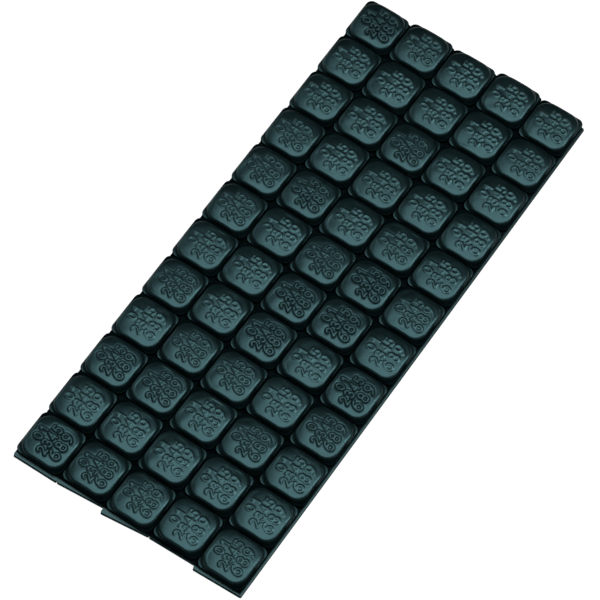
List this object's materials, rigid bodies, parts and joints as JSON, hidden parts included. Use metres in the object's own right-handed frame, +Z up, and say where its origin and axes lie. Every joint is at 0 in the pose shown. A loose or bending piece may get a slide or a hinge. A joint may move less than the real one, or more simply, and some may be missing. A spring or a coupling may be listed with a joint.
{
  "type": "adhesive wheel balance weight sheet",
  "caption": "Flat sheet of square black-coated steel balance weights with pillow-shaped faces, in strips on foam tape with a release liner, for sticking inside a wheel rim.",
  "frame": {"origin": "on the surface the sheet lies on, under the middle of its outline", "axes": "+X across the strips, +Y along the strips, +Z up out of the weights' faces"},
  "size_m": [0.0864, 0.2065, 0.0052],
  "materials": {
    "coated_steel": "satin",
    "foam_tape": "matte",
    "release_liner": "matte"
  },
  "bodies": {
    "root": {"strip_1_weights_01_02": "coated_steel", "strip_1_weights_03_04": "coated_steel", "strip_1_weights_05_06": "coated_steel", "strip_1_weights_07_08": "coated_steel", "strip_1_weights_09_10": "coated_steel", "strip_1_weights_11_12": "coated_steel", "strip_1_foam_tape": "foam_tape", "strip_1_release_liner": "release_liner", "strip_2_weights_01_02": "coated_steel", "strip_2_weights_03_04": "coated_steel", "strip_2_weights_05_06": "coated_steel", "strip_2_weights_07_08": "coated_steel", "strip_2_weights_09_10": "coated_steel", "strip_2_weights_11_12": "coated_steel", "strip_2_foam_tape": "foam_tape", "strip_2_release_liner": "release_liner", "strip_3_weights_01_02": "coated_steel", "strip_3_weights_03_04": "coated_steel", "strip_3_weights_05_06": "coated_steel", "strip_3_weights_07_08": "coated_steel", "strip_3_weights_09_10": "coated_steel", "strip_3_weights_11_12": "coated_steel", "strip_3_foam_tape": "foam_tape", "strip_3_release_liner": "release_liner", "strip_4_weights_01_02": "coated_steel", "strip_4_weights_03_04": "coated_steel", "strip_4_weights_05_06": "coated_steel", "strip_4_weights_07_08": "coated_steel", "strip_4_weights_09_10": "coated_steel", "strip_4_weights_11_12": "coated_steel", "strip_4_foam_tape": "foam_tape", "strip_4_release_liner": "release_liner", "strip_5_weights_01_02": "coated_steel", "strip_5_weights_03_04": "coated_steel", "strip_5_weights_05_06": "coated_steel", "strip_5_weights_07_08": "coated_steel", "strip_5_weights_09_10": "coated_steel", "strip_5_weights_11_12": "coated_steel", "strip_5_foam_tape": "foam_tape", "strip_5_release_liner": "release_liner"}
  },
  "joints": []
}
